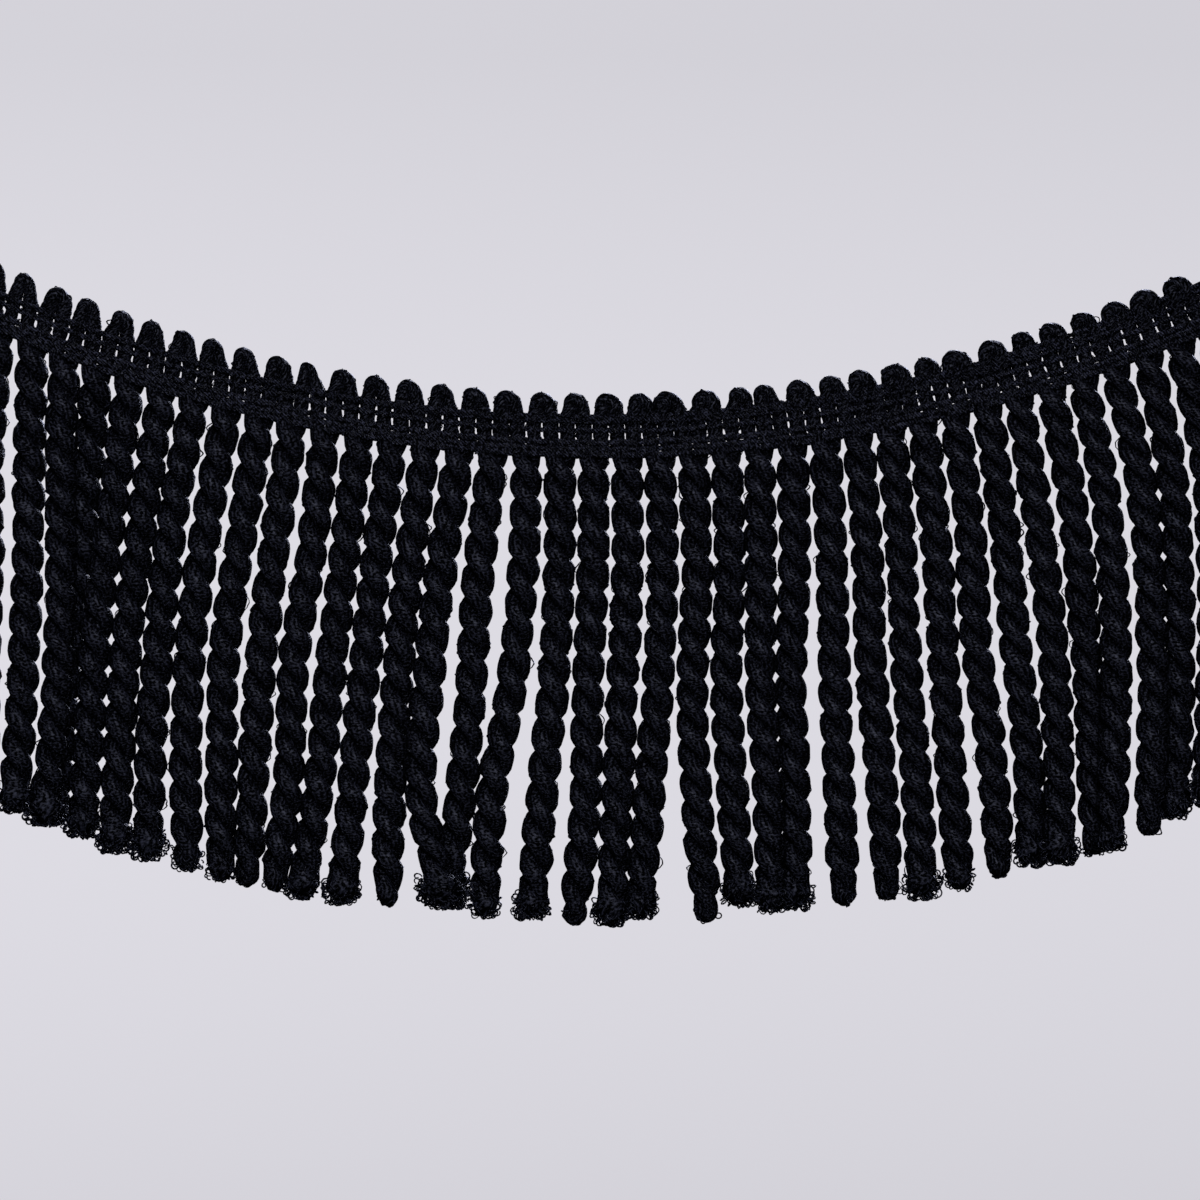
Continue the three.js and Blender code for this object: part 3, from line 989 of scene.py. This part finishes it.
def row_threads(row):
    """Paths of the threads along the front and the back of a row, their directions and their radii."""
    first = FIRST_STATION * THREAD_STEPS + THREAD_MARGINS[0]
    last = LAST_STATION * THREAD_STEPS - THREAD_MARGINS[1]
    stations = np.arange(first, last) / THREAD_STEPS
    paths = []
    aways = []
    for number in range(len(row["below"])):
        for face in FRONT_AND_BACK:
            stray = THREAD_WANDER * wander(len(stations), 1, WANDER_REACH)[:, 0]
            path = heading_point(stations, row_depth(row, number, stations) + stray)
            path[:, 1] = face * over_legs(row, stations)
            paths.append(path)
            aways.append(np.tile([0, face, 0.0], (len(stations), 1)))
    radii = row["thread"] * (1 + THREAD_LUMPS * wander(len(stations), len(paths), LUMP_REACH).T)
    return np.array(paths), np.array(aways), radii


print("chain rows:", [row["node"] for row in chain_rows])

# %% [markdown]
# A stitch lies slanting over its thread, to the left or to the right by chance, and no two are quite alike.
# A pattern on the thread could suggest them, but real ones catch the light and show at the edges. One stitch
# starts as a ring. Its tube keeps its thickness while the ring is drawn out, tilted and copied.

# %% Shape a stitch
STITCH_SEGMENTS = 6
STITCH_SIDES = 4
STITCH_RADIUS = 0.25
STITCH_WIDTH = 0.08
STITCH_STAND = 0.32
SPOT_SCATTER = 0.05
DEPTH_SCATTER = 0.16
SLANT_RANGE = (0.6, 1.3)
SIZE_RANGE = (0.65, 1.2)
NEARBY = 0.1

bpy.ops.mesh.primitive_torus_add(
    major_segments=STITCH_SEGMENTS, minor_segments=STITCH_SIDES, major_radius=1, minor_radius=STITCH_RADIUS
)
stitch = bpy.context.object
stitch_points = np.array([vertex.co for vertex in stitch.data.vertices])
stitch_faces = np.array([polygon.vertices for polygon in stitch.data.polygons])
bpy.data.objects.remove(stitch)
ring = np.arctan2(stitch_points[:, 1], stitch_points[:, 0])
tube = stitch_points - np.stack([np.cos(ring), np.sin(ring), 0 * ring], -1)


def stitch_at(row, number, face, station):
    """Points of one stitch near a station, on the front or the back of a thread."""
    spot = station + SPOT_SCATTER * chance.standard_normal()
    below = row_depth(row, number, spot)
    middle = heading_point(spot, below + DEPTH_SCATTER * chance.standard_normal())
    slant = row["slant"] * chance.choice((-1, 1)) * chance.uniform(*SLANT_RANGE)
    along = unit(heading_point(spot + NEARBY, below) - heading_point(spot - NEARBY, below))
    upward = np.array([-along[2], 0, along[0]])
    size = chance.uniform(*SIZE_RANGE)
    x = size * row["length"] * np.cos(ring) + tube[:, 0]
    z = STITCH_WIDTH * np.sin(ring) + size * slant * np.cos(ring) + tube[:, 1]
    place = middle + times(x, along) + times(z, upward)
    place[:, 1] += face * (over_legs(row, spot) + STITCH_STAND) + tube[:, 2]
    return place


print("a stitch of", len(stitch_faces), "faces")

# %% [markdown]
# Six stitches to a station follow each thread on both sides of the heading. A row's threads, which are
# flatter than they are high, and its stitches are joined in one mesh.

# %% Make the chain rows
STITCHES_PER_STATION = 6
STITCH_MARGINS = (0.3, 0.2)
BAND_SIDES = 6
BAND_DEPTH = 0.24


def row_stitches(row):
    """Points of all the stitches of a row, on the front and the back."""
    first = FIRST_STATION + STITCH_MARGINS[0]
    last = LAST_STATION - STITCH_MARGINS[1]
    stations = np.arange(first, last, 1 / STITCHES_PER_STATION)
    lines = [(number, face) for number in range(len(row["below"])) for face in FRONT_AND_BACK]
    return np.array([stitch_at(row, *line, station) for line in lines for station in stations])


for row in chain_rows:
    points, faces = thin_tubes(*row_threads(row), BAND_SIDES, BAND_DEPTH / row["thread"])
    points = points.reshape(-1, 3)
    stitches = row_stitches(row)
    numbers = len(points) + np.arange(len(stitches)) * len(stitch_points)
    faces += (stitch_faces[None] + numbers[:, None, None]).reshape(-1, 4).tolist()
    points = np.concatenate([points, stitches.reshape(-1, 3)])
    name = row["node"].replace("row", "stitches")
    new_piece(name, points, faces, chain_thread, row["node"])

# %% [markdown]
